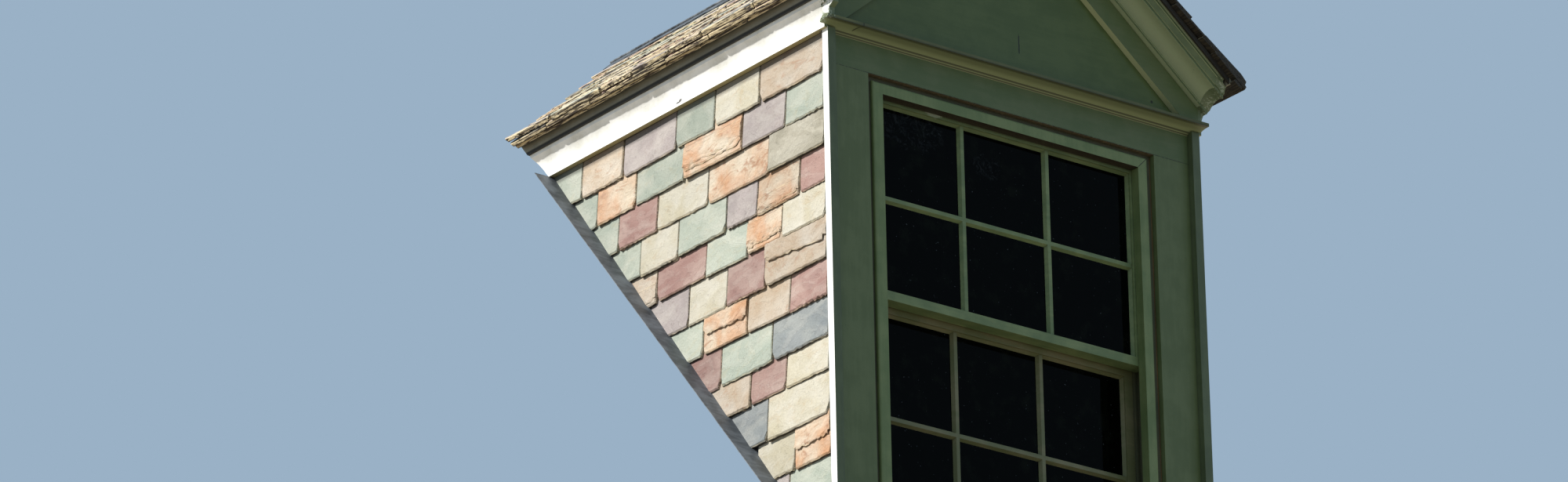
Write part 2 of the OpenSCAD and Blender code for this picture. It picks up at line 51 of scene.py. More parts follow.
def mm(*sizes):
    """Millimetres as metres."""
    return tuple(size * MM for size in sizes)


def solid(name):
    """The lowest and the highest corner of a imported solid, in millimetres."""
    return [Vector(corner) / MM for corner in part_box(name)]


# The part's own sizes, in millimetres and radians
SEAT_PITCH, GABLE_PITCH = math.radians(50.5), math.radians(39.5)
ROOF_COURSE = 133
ROOF_BUTT = 20
CORNER_BOARD_DEPTH = 26
STOP_WIDTH = 36

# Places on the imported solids, in millimetres: on the right side, which the left mirrors
SLATE_BACK = solid("right_cheek_boarding")[1].x
SLATE_START = solid("right_corner_board")[0].y + CORNER_BOARD_DEPTH
FASCIA_FOOT = solid("right_eave_cornice")[0].z
SLATE_FRONT, EAVE_Z = solid("right_roof_slates")[0].yz
EAVE_X = solid("right_roof_slates")[1].x - ROOF_BUTT * math.sin(GABLE_PITCH)
STOP_IN = solid("stop_frame")[1].x - STOP_WIDTH
STOP_HEAD = solid("stop_frame")[1].z - STOP_WIDTH
CASING_TOP = solid("right_casing")[1].z
CORNICE_TOP = solid("horizontal_cornice")[1].z
DRIP_IN, DRIP_FOOT = solid("right_eave_drip")[0].xz
# The cheeks' slates end below the first of these heights, and the roof's begin above the second
CHEEKS_END, ROOF_BEGINS = FASCIA_FOOT + 16, EAVE_Z - 17


def linear(code):
    """The linear colour that shaders work in, from an sRGB hex code."""
    parts = [int(code[i:i + 2], 16) / 255 for i in (1, 3, 5)]
    return tuple(p / 12.92 if p <= 0.04045 else ((p + 0.055) / 1.055) ** 2.4 for p in parts) + (1.0,)


def add(tree, kind, feeds=(), **settings):
    """Adds a node with its settings. feeds gives its sockets, in order or by name: each is a value,
    an output, or the node whose first output feeds it."""
    made = tree.nodes.new(kind)
    for name, value in settings.items():
        setattr(made, name, value)
    sockets = [s for s in made.inputs if s.enabled]
    for key, value in feeds.items() if isinstance(feeds, dict) else enumerate(feeds):
        socket = sockets[key] if isinstance(key, int) else next(s for s in sockets if s.name == key)
        if isinstance(value, bpy.types.Node):
            value = next(s for s in value.outputs if s.enabled)
        if isinstance(value, bpy.types.NodeSocket):
            tree.links.new(value, socket)
        else:
            socket.default_value = value
    return made


# Nodes and their settings, by short names
MATH, VECTOR, MIX, RANGE = "ShaderNodeMath", "ShaderNodeVectorMath", "ShaderNodeMix", "ShaderNodeMapRange"
NOISE, BUMP, MAPPING = "ShaderNodeTexNoise", "ShaderNodeBump", "ShaderNodeMapping"
SPLIT, JOIN, CREVICE = "ShaderNodeSeparateXYZ", "ShaderNodeCombineXYZ", "ShaderNodeAmbientOcclusion"
PLUS, MINUS, TIMES = {"operation": "ADD"}, {"operation": "SUBTRACT"}, {"operation": "MULTIPLY"}
TIMES_PLUS, LARGER = {"operation": "MULTIPLY_ADD"}, {"operation": "MAXIMUM"}
RGB, SOFT = {"data_type": "RGBA"}, {"interpolation_type": "SMOOTHSTEP"}
# A shifted noise is moved by its fourth coordinate, W
SHIFTED = {"noise_dimensions": "4D"}


# Camera, floor and light

def set_camera():
    """The photograph's own viewpoint: well below the dormer and to its left."""
    azimuth, elevation, roll = map(math.radians, (37.54, 22.21, 1.09))
    forward = Vector((math.sin(azimuth) * math.cos(elevation),
                      math.cos(azimuth) * math.cos(elevation), math.sin(elevation)))
    data = bpy.data.cameras.new("camera")
    data.sensor_width = 36.0
    data.lens = 178.85
    data.clip_end = 400.0
    camera = bpy.data.objects.new("camera", data)
    camera.location = (-13.1383, -16.0399, -7.3614)
    camera.rotation_mode = "QUATERNION"
    camera.rotation_quaternion = forward.to_track_quat("-Z", "Y") @ Quaternion((0, 0, 1), -roll)
    bpy.context.collection.objects.link(camera)
    bpy.context.scene.camera = camera


def set_light():
    """Pale sky all round, and a key light high on the left that leaves the window front in shade."""
    world = bpy.data.worlds.new("studio sky")
    bpy.context.scene.world = world
    world.use_nodes = True
    background = world.node_tree.nodes["Background"]
    background.inputs["Color"].default_value = linear("#9AB1C6")
    background.inputs["Strength"].default_value = 1.0
    data = bpy.data.lights.new("key", "SUN")
    data.energy = 6.4
    data.angle = math.radians(0.8)
    data.color = (1.0, 0.965, 0.91)
    key = bpy.data.objects.new("key", data)
    key.rotation_mode = "QUATERNION"
    key.rotation_quaternion = Vector((0.655, -0.308, -0.678)).to_track_quat("-Z", "Y")
    bpy.context.collection.objects.link(key)


def lay_floor():
    """A plain pale floor, a little below the camera, in metres."""
    reach, level = 90, -9
    corners = [(-reach, -reach, level), (reach, -reach, level), (reach, reach, level), (-reach, reach, level)]
    mesh = bpy.data.meshes.new("floor")
    mesh.from_pydata(corners, [], [(0, 1, 2, 3)])
    floor = bpy.data.objects.new("floor", mesh)
    bpy.context.collection.objects.link(floor)
    finish = bpy.data.materials.new("pale floor")
    finish.use_nodes = True
    shader = finish.node_tree.nodes["Principled BSDF"]
    shader.inputs["Base Color"].default_value = linear("#988B77")
    shader.inputs["Roughness"].default_value = 0.9
    mesh.materials.append(finish)


bpy.context.scene.view_settings.view_transform = "Standard"
set_camera()
set_light()
lay_floor()


# Marks of age on the paint

# Each takes the material's tree, the place split into X, Y and Z, and a fine noise that breaks up
# edges, and gives how strongly the mark shows.

def seam(tree, away, reach, depth, **ease):
    """A line at its full depth within the first reach of its middle, and gone past the second."""
    away = add(tree, MATH, (away,), operation="ABSOLUTE")
    return add(tree, RANGE, (away, *reach, depth, 0.0), **ease)


def mitre_line(tree, axis, soot):
    """The open mitre at the stop's upper right corner, drawn 1 mm over the solid's own."""
    across = add(tree, MATH, (axis[0], STOP_IN * MM), **MINUS)
    up = add(tree, MATH, (axis[2], (STOP_HEAD + 1) * MM), **MINUS)
    line = seam(tree, add(tree, MATH, (across, up), **MINUS), mm(0.8, 2.2), 0.9, **SOFT)
    return add(tree, MATH, (line, add(tree, RANGE, (up, *mm(-2, 2)))), **TIMES)


def board_joint(tree, axis, soot):
    """The hair joint where the frieze board sits on the casings, filled here and there by paint."""
    away = add(tree, MATH, (axis[2], (CASING_TOP + 1) * MM), **MINUS)
    line = seam(tree, away, mm(0.6, 1.8), 0.75, **SOFT)
    return add(tree, MATH, (line, add(tree, RANGE, (soot, 0.35, 0.5))), **TIMES)


def gable_split(tree, axis, soot):
    """The upright split in the board of the gable, 60 mm long and 31 mm right of the middle."""
    wander = add(tree, MATH, (soot, *mm(4, -2)), **TIMES_PLUS)
    away = add(tree, MATH, (add(tree, MATH, (axis[0], wander), **PLUS), 31 * MM), **MINUS)
    foot = add(tree, RANGE, (axis[2], *mm(CORNICE_TOP + 69, CORNICE_TOP + 75)))
    top = add(tree, RANGE, (axis[2], *mm(CORNICE_TOP + 123, CORNICE_TOP + 136), 1.0, 0.0))
    line = seam(tree, away, mm(1.2, 3), 1.0, **SOFT)
    return add(tree, MATH, (line, add(tree, MATH, (foot, top), **TIMES)), **TIMES)


def drip_foot_shadow(tree, axis, soot):
    """Painted shadow, nearly black, along the foot of the drip boards on the eaves, 11 mm high."""
    foot = add(tree, RANGE, (axis[2], *mm(DRIP_FOOT + 8, DRIP_FOOT + 13), 0.9, 0.0))
    out = add(tree, MATH, (axis[0],), operation="ABSOLUTE")
    return add(tree, MATH, (foot, add(tree, RANGE, (out, *mm(DRIP_IN - 2, DRIP_IN - 0.5)))), **TIMES)


def fascia_gap_shade(tree, axis, soot):
    """Painted shade in the gap between the fascia's 19 mm board and the cheek's slates, seen from below."""
    foot = add(tree, RANGE, (axis[2], *mm(FASCIA_FOOT + 2, FASCIA_FOOT + 4), 0.95, 0.0))
    out = add(tree, MATH, (axis[0],), operation="ABSOLUTE")
    inner = add(tree, RANGE, (out, *mm(SLATE_BACK + 12, SLATE_BACK + 15), 1.0, 0.0))
    return add(tree, MATH, (foot, inner), **TIMES)


def cornice_lines(tree, axis, soot):
    """Shade in the quirks of the cornice and on its nose, where it is fainter left of an old crack.
    The quirks are given by their distance under the cornice's top and their half width, in mm."""
    nose = add(tree, RANGE, (axis[1], *mm(-70, -56), 0.3, 0.0), **SOFT)
    found = add(tree, MATH, (nose, add(tree, RANGE, (axis[0], *mm(-604, -596), 0.35, 1.0))), **TIMES)
    for drop, wide in ((34.8, 1.2), (30.0, 1.3), (16.8, 1.2)):
        away = add(tree, MATH, (axis[2], (CORNICE_TOP - drop) * MM), **MINUS)
        found = add(tree, MATH, (found, seam(tree, away, mm(wide, wide * 1.5), 0.72)), **LARGER)
    bent = add(tree, MATH, (axis[1], 0.4, add(tree, MATH, (axis[0], 624 * MM), **PLUS)), **TIMES_PLUS)
    under = add(tree, RANGE, (axis[1], *mm(-62, -58), 1.0, 0.0))
    crack = add(tree, MATH, (seam(tree, bent, mm(1.5, 3.5), 0.9), under), **TIMES)
    return add(tree, MATH, (found, crack), **LARGER)


def rail_shade(tree, axis, soot):
    """The browned top rail of the upper sash, with painted shade darkest up against the stop."""
    rail = add(tree, RANGE, (axis[2], *mm(STOP_HEAD - 21, STOP_HEAD - 15), 0.0, 0.22))
    top = add(tree, RANGE, (axis[2], *mm(STOP_HEAD - 6.5, STOP_HEAD - 0.5), 0.0, 0.6), **SOFT)
    return add(tree, MATH, (rail, top), **LARGER)


def spots(*places):
    """Small dents or bare spots, each given by its middle and its reach along X, Y and Z, in mm."""
    def make(tree, axis, soot):
        point = add(tree, JOIN, (axis[0], axis[1], axis[2]))
        found = 0.0
        for middle, reach in places:
            away = add(tree, VECTOR, (point, Vector(middle) * MM), **MINUS)
            away = add(tree, VECTOR, (away, Vector(reach) * MM), operation="DIVIDE")
            away = add(tree, VECTOR, (away,), operation="LENGTH")
            ragged = add(tree, MATH, (soot, 1.2, away), **TIMES_PLUS)
            found = add(tree, MATH, (found, add(tree, RANGE, (ragged, 1.4, 1.65, 0.9, 0.0))), **LARGER)
        return found
    return make


def end_chips(tree, axis, soot):
    """Pale flecks where the mouldings end and their mitres have opened."""
    out = add(tree, MATH, (axis[0],), operation="ABSOLUTE")
    near = add(tree, RANGE, (out, *mm(664, 705), 0.0, 0.2))
    chips = add(tree, RANGE, (add(tree, MATH, (soot, near), **PLUS), 0.71, 0.76), **SOFT)
    return add(tree, MATH, (chips, add(tree, RANGE, (axis[1], *mm(-60, -48), 1.0, 0.0))), **TIMES)


# Painted wood

CHALKED_WHITE, WORN_PRIMER = "#D6D5CC", "#8A9682"


def new_finish(name):
    """A material, its node tree, its shader and its Object coordinates."""
    finish = bpy.data.materials.new(name)
    finish.use_nodes = True
    tree = finish.node_tree
    return finish, tree, tree.nodes["Principled BSDF"], add(tree, "ShaderNodeTexCoord").outputs["Object"]


def oil_paint(name, coat, faded, dirt_and_shade, run="X", side=None, under=None, marks=(), flecks=(), gloss=0.5,
              corner_shade=0.35):
    """Oil paint brushed on planed pine and left for decades: chalky blotches, brush marks along the
    board, painted shade in the corners, mould in pin-head specks. side is another coat, on faces
    that look sideways; under is painted light and shade on faces that look down. marks are this
    board's own dark lines and painted shade, flecks its bare places."""
    finish, tree, shader, where = new_finish(name)
    axis = add(tree, SPLIT, (where,)).outputs
    facing = add(tree, SPLIT, (add(tree, "ShaderNodeNewGeometry").outputs["Normal"],)).outputs
    along = add(tree, MAPPING, {"Vector": where, "Scale": {
        "X": (0.1, 1, 1), "Y": (1, 0.1, 1), "Z": (1, 1, 0.1)}[run]})
    # chalking in blotches 90 mm across, with weathered streaks 14 mm wide along the grain
    blotch = add(tree, NOISE, {"Vector": where, "Scale": 11.0, "Detail": 5.0, "Roughness": 0.6})
    streak = add(tree, NOISE, {"Vector": along, "Scale": 70.0, "Detail": 3.0, "Roughness": 0.6})
    # the ragged edges of marks and chips, 7 mm from peak to peak
    soot = add(tree, NOISE, {"Vector": where, "Scale": 140.0, "Detail": 4.0, "Roughness": 0.7})
    worn = add(tree, MATH, (streak, 0.5, blotch), **TIMES_PLUS)
    worn = add(tree, RANGE, (worn, 0.6, 0.95), **SOFT)
    colour = add(tree, MIX, (worn, linear(coat), linear(faded)), **RGB)
    if side:
        outward = add(tree, MATH, (facing[0], add(tree, MATH, (axis[0],), operation="SIGN")), **TIMES)
        if run == "Y":
            # an eaves board is white but for what turns to the front or the gable at its front end
            forward = add(tree, RANGE, (facing[1], -0.25, -0.15, 1.0, 0.0))
            inward = add(tree, RANGE, (outward, 0.1, 0.2, 1.0, 0.0))
            turned = add(tree, MATH, (forward, inward), **LARGER)
            front = add(tree, MATH, (turned, add(tree, RANGE, (axis[1], *mm(-50, -45), 1.0, 0.0))), **TIMES)
            out = add(tree, MATH, (1.0, front), **MINUS)
        else:
            out = add(tree, RANGE, (outward, 0.55, 0.65), **SOFT)
        chalky = add(tree, RANGE, (blotch, 0.4, 0.7))
        white = add(tree, MIX, (chalky, linear(side), linear(CHALKED_WHITE)), **RGB)
        colour = add(tree, MIX, (out, colour, white), **RGB)
    if under:
        # painted light and shade: faces that look down take the under colour
        below = add(tree, RANGE, (facing[2], -0.75, -0.4, 1.0, 0.0))
        if side:
            # on the eaves it shows only at the fascia's foot
            foot = add(tree, RANGE, (axis[2], *mm(FASCIA_FOOT + 2, FASCIA_FOOT + 4), 1.0, 0.0))
            below = add(tree, MATH, (below, foot), **TIMES)
        colour = add(tree, MIX, (below, colour, linear(under)), **RGB)
    # painted shade in the corners, and mould in specks 3 mm across where the paint holds the damp
    corner = add(tree, CREVICE, {"Distance": 9 * MM}, samples=6).outputs["AO"]
    mark = add(tree, RANGE, (corner, 0.35, 0.85, corner_shade, 0.0), **SOFT)
    specks = add(tree, NOISE, {"Vector": where, "Scale": 290.0, "Detail": 2.0})
    patch = add(tree, RANGE, (blotch, 0.48, 0.62, 0.0, 0.35))
    mould = add(tree, MATH, (add(tree, RANGE, (specks, 0.64, 0.72)), patch), **TIMES)
    for other in [mould] + [make(tree, axis, soot) for make in marks]:
        mark = add(tree, MATH, (mark, other), **LARGER)
    colour = add(tree, MIX, (mark, colour, linear(dirt_and_shade)), **RGB)
    for make in flecks:
        colour = add(tree, MIX, (make(tree, axis, soot), colour, linear(WORN_PRIMER)), **RGB)
    tree.links.new(colour.outputs[2], shader.inputs["Base Color"])
    shader.inputs["Roughness"].default_value = gloss
    # brush marks 2 mm apart on a coat that has crept and wrinkled a little
    brush = add(tree, NOISE, {"Vector": along, "Scale": 450.0, "Detail": 2.0})
    height = add(tree, MATH, (brush, 0.35, add(tree, MATH, (blotch, 2.0), **TIMES)), **TIMES_PLUS)
    height = add(tree, MATH, (mark, -0.6, height), **TIMES_PLUS)
    bump = add(tree, BUMP, {"Strength": 0.5, "Distance": 1.2 * MM, "Height": height})
    tree.links.new(bump.outputs[0], shader.inputs["Normal"])
    return finish


# Bare wood, metal and glass

AGED_PINE, PINE_GAP_AND_SHADE = "#5F4A2F", "#17110A"


def sawn_timber(name, pale, dark, run="Z", board=0):
    """Rough-sawn softwood, browned by age and matt: long grain 9 mm wide, and painted shade in its
    corners. board gives open joints that many mm apart."""
    finish, tree, shader, where = new_finish(name)
    along = add(tree, MAPPING, {"Vector": where, "Scale": {
        "X": (0.05, 1, 1), "Y": (1, 0.05, 1), "Z": (1, 1, 0.05)}[run]})
    grain = add(tree, NOISE, {"Vector": along, "Scale": 110.0, "Detail": 6.0, "Roughness": 0.6,
                              "Distortion": 0.4})
    cloud = add(tree, NOISE, {"Vector": where, "Scale": 4.0, "Detail": 4.0})
    growth = add(tree, RANGE, (grain, 0.35, 0.68), **SOFT)
    colour = add(tree, MIX, (growth, linear(dark), linear(pale)), **RGB)
    aged = add(tree, RANGE, (cloud, 0.35, 0.7, 0.0, 0.45))
    colour = add(tree, MIX, (aged, colour, linear(AGED_PINE)), **RGB)
    # painted shade in the corners, in the same near-black as the open joints
    corner = add(tree, CREVICE, {"Distance": 14 * MM}, samples=6).outputs["AO"]
    gap = add(tree, RANGE, (corner, 0.3, 0.8, 0.8, 0.0), **SOFT)
    if board:
        height = add(tree, SPLIT, (where,)).outputs[2]
        across = add(tree, MATH, (height, board * MM / 2), operation="PINGPONG")
        gap = add(tree, MATH, (gap, add(tree, RANGE, (across, *mm(1.2, 2.6), 1.0, 0.0))), **LARGER)
    colour = add(tree, MIX, (gap, colour, linear(PINE_GAP_AND_SHADE)), **RGB)
    tree.links.new(colour.outputs[2], shader.inputs["Base Color"])
    shader.inputs["Roughness"].default_value = 0.82
    height = add(tree, MATH, (grain, gap), **MINUS)
    bump = add(tree, BUMP, {"Strength": 0.6, "Distance": 1.5 * MM, "Height": height})
    tree.links.new(bump.outputs[0], shader.inputs["Normal"])
    return finish


def aged_metal(name, dull, bright, rough):
    """Sheet metal long in the weather: patina in clouds 70 mm across, with runs 10 mm wide down it,
    half metal to the eye and brighter where it is rubbed."""
    finish, tree, shader, where = new_finish(name)
    cloud = add(tree, NOISE, {"Vector": where, "Scale": 14.0, "Detail": 6.0, "Roughness": 0.65,
                              "Distortion": 0.5})
    down = add(tree, MAPPING, {"Vector": where, "Scale": (0.2, 1, 0.2)})
    runs = add(tree, NOISE, {"Vector": down, "Scale": 100.0, "Detail": 3.0})
    patina = add(tree, MATH, (runs, 0.4, cloud), **TIMES_PLUS)
    patina = add(tree, RANGE, (patina, 0.5, 0.95), **SOFT)
    colour = add(tree, MIX, (patina, linear(dull), linear(bright)), **RGB)
    tree.links.new(colour.outputs[2], shader.inputs["Base Color"])
    shader.inputs["Metallic"].default_value = 0.5
    sheen = add(tree, RANGE, (cloud, 0.3, 0.7, rough - 0.12, rough + 0.15))
    tree.links.new(sheen.outputs[0], shader.inputs["Roughness"])
    bump = add(tree, BUMP, {"Strength": 0.3, "Distance": 2 * MM, "Height": cloud})
    tree.links.new(bump.outputs[0], shader.inputs["Normal"])
    return finish


def window_glass(name):
    """Old drawn glass in front of an unlit room: nearly black, faintly rippled, filmed with dust, with
    pale bluish-grey swirls in two of the upper panes and pale specks all over."""
    finish, tree, shader, where = new_finish(name)
    axis = add(tree, SPLIT, (where,)).outputs
    # a film of dust in clouds 60 mm across
    film = add(tree, NOISE, {"Vector": where, "Scale": 16.0, "Detail": 5.0, "Roughness": 0.6})
    filmed = add(tree, RANGE, (film, 0.5, 0.75), **SOFT)
    colour = add(tree, MIX, (filmed, linear("#020302"), linear("#0A0E09")), **RGB)
    wisp = add(tree, NOISE, {"Vector": where, "Scale": 34.0, "Detail": 6.0, "Roughness": 0.7,
                             "Distortion": 2.0})
    # pale bluish-grey swirls in two of the upper panes, and pale specks all over
    swirl = spots(((-330, 0, 1350), (120, 90, 60)), ((-60, 0, 1310), (60, 90, 40)))(tree, axis, film)
    swirl = add(tree, MATH, (swirl, add(tree, RANGE, (wisp, 0.5, 0.75, 0.0, 0.2))), **TIMES)
    speck = add(tree, NOISE, {"Vector": where, "Scale": 160.0, "Detail": 1.0})
    speck = add(tree, RANGE, (speck, 0.77, 0.8, 0.0, 0.4))
    dust = add(tree, MATH, (swirl, speck), **LARGER)
    colour = add(tree, MIX, (dust, colour, linear("#59636B")), **RGB)
    tree.links.new(colour.outputs[2], shader.inputs["Base Color"])
    polish = add(tree, RANGE, (film, 0.4, 0.8, 0.03, 0.14))
    tree.links.new(polish.outputs[0], shader.inputs["Roughness"])
    shader.inputs["IOR"].default_value = 1.5
    shader.inputs["Specular IOR Level"].default_value = 0.04
    # ripples 45 mm apart from the drawing of the sheet
    drawn = add(tree, MAPPING, {"Vector": where, "Scale": (1, 1, 0.3)})
    ripple = add(tree, NOISE, {"Vector": drawn, "Scale": 22.0, "Detail": 1.0})
    bump = add(tree, BUMP, {"Strength": 0.2, "Distance": 2 * MM, "Height": ripple})
    tree.links.new(bump.outputs[0], shader.inputs["Normal"])
    return finish


def finish_solids():
    """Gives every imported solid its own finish. Some have a mark in one place: a dark spot on the
    frieze and on the gable board, a knocked corner of the stop, a pale patch on the top rail and a
    chip in the left fascia."""
    frieze_spot = spots(((-32, -14, 1470), (5, 5, 5)))
    gable_spot = spots(((528, -38, 1638), (5, 9, 5)))
    stop_knock = spots(((-474, -60, 1427), (3, 20, 6)))
    rail_patch = spots(((-262, 0, 1418), (30, 60, 9)))
    fascia_chip = spots(((-698, 640, 1575), (8, 13, 3.2)), ((-698, 631, 1579), (8, 8, 3.6)))
    # under colours are painted light and shade on faces that look down: pale where light comes up from below
    # on the rakes, crowns, cornice and eaves, brown under the frieze, apron and sill, near-black under the
    # stop
    front = oil_paint("green oil paint on flat boards", "#4A5D39", "#546342", "#15190F", under="#6B6048",
                      marks=(board_joint, frieze_spot))
    rake = oil_paint("green oil paint on the raking boards", "#4C5E38", "#566441", "#15190F",
                     under="#B0BA94", corner_shade=0.1)
    upright = oil_paint("green oil paint on upright boards", "#4E5E39", "#586743", "#15190F", run="Z",
                        marks=(board_joint,))
    gable = oil_paint("green oil paint on the gable board", "#42552B", "#4B5D33", "#12160D",
                      marks=(gable_split, gable_spot))
    corner = oil_paint("green oil paint with white sides", "#46543A", "#515F43", "#181C12", run="Z",
                       side="#E9EAE6")
    crown = oil_paint("green oil paint on mouldings", "#4F6142", "#5D6E4D", "#15190F", under="#94A384",
                      flecks=(end_chips,))
    cornice = oil_paint("olive green paint on the cornice", "#535D35", "#62683F", "#17170B",
                        under="#7C8762", marks=(cornice_lines,), flecks=(end_chips,))
    stop = oil_paint("grey-green paint on the stop", "#5A6E45", "#6A7B51", "#12150C", run="Z",
                     under="#2C261B", marks=(mitre_line, stop_knock))
    sash = oil_paint("grey-green paint on the upper sash", "#5B6F4A", "#708158", "#16170D",
                     marks=(rail_shade,), flecks=(rail_patch,))
    low_sash = oil_paint("brown-green paint on the lower sash", "#5A6141", "#6C6C50", "#13120B")
    lining_paint = oil_paint("brown-green paint on the window frame", "#3E4432", "#4A4C38", "#0F0F08",
                             run="Z")
    eave = oil_paint("white oil paint on the eaves", "#5A694D", "#687658", "#1B1811", run="Y",
                     side="#F1F1EE", under="#A89F78", marks=(fascia_gap_shade, fascia_chip),
                     flecks=(end_chips,), corner_shade=0.0)
    drip = oil_paint("dark stain on the drip boards", "#7E7E72", "#8F8E80", "#0E0D0B", run="Y",
                     marks=(drip_foot_shadow,), gloss=0.65, corner_shade=0.3)
    # the raking drips' near-black colour is painted shade
    rake_drip = oil_paint("near-black painted shade on the raking drips", "#1C1B17", "#2A2924", "#0B0A08", gloss=0.65)
    stud = sawn_timber("sawn pine framing", "#94754B", "#614629")
    rafter = sawn_timber("sawn pine rafters", "#8C6D45", "#5B4226", run="X")
    boarding = sawn_timber("sawn pine boarding", "#7B603E", "#4A351E", run="Y", board=140)
    ridge = aged_metal("dark ridge metal", "#17181A", "#6A6F73", 0.45)
    lead = aged_metal("dull flashing lead", "#4A4F54", "#7A8086", 0.6)
    glass = window_glass("dark window glass")
    finishes = {
        front: ("head_frieze", "apron_board", "window_sill"),
        rake: ("left_rake_frieze", "right_rake_frieze"),
        upright: ("left_casing", "right_casing"),
        gable: ("tympanum_board",),
        corner: ("left_corner_board", "right_corner_board"),
        crown: ("left_raking_crown", "right_raking_crown"),
        cornice: ("horizontal_cornice",),
        stop: ("stop_frame",),
        sash: ("upper_sash",),
        low_sash: ("lower_sash",),
        lining_paint: ("window_frame",),
        eave: ("left_eave_cornice", "right_eave_cornice"),
        drip: ("left_eave_drip", "right_eave_drip"),
        rake_drip: ("left_rake_drip", "right_rake_drip"),
        stud: ("front_frame", "left_cheek_frame", "right_cheek_frame", "front_kerb"),
        rafter: ("roof_frame",),
        boarding: ("left_cheek_boarding", "right_cheek_boarding", "left_roof_boarding",
                   "right_roof_boarding"),
        ridge: ("ridge_cap",),
        lead: ("apron_flashing", "left_cheek_flashing", "right_cheek_flashing"),
        glass: ("upper_glass", "lower_glass"),
    }
    for finish, names in finishes.items():
        for name in names:
            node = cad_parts[name]
            node.data.materials.clear()
            node.data.materials.append(finish)


finish_solids()


# Slates

CLEFT_GREY, GRIT_BROWN, SHADE_BLACK = "#D8D4C8", "#3B352A", "#15130E"
BED_DARK, BED_PALE = "#2A1D13", "#D3C29C"


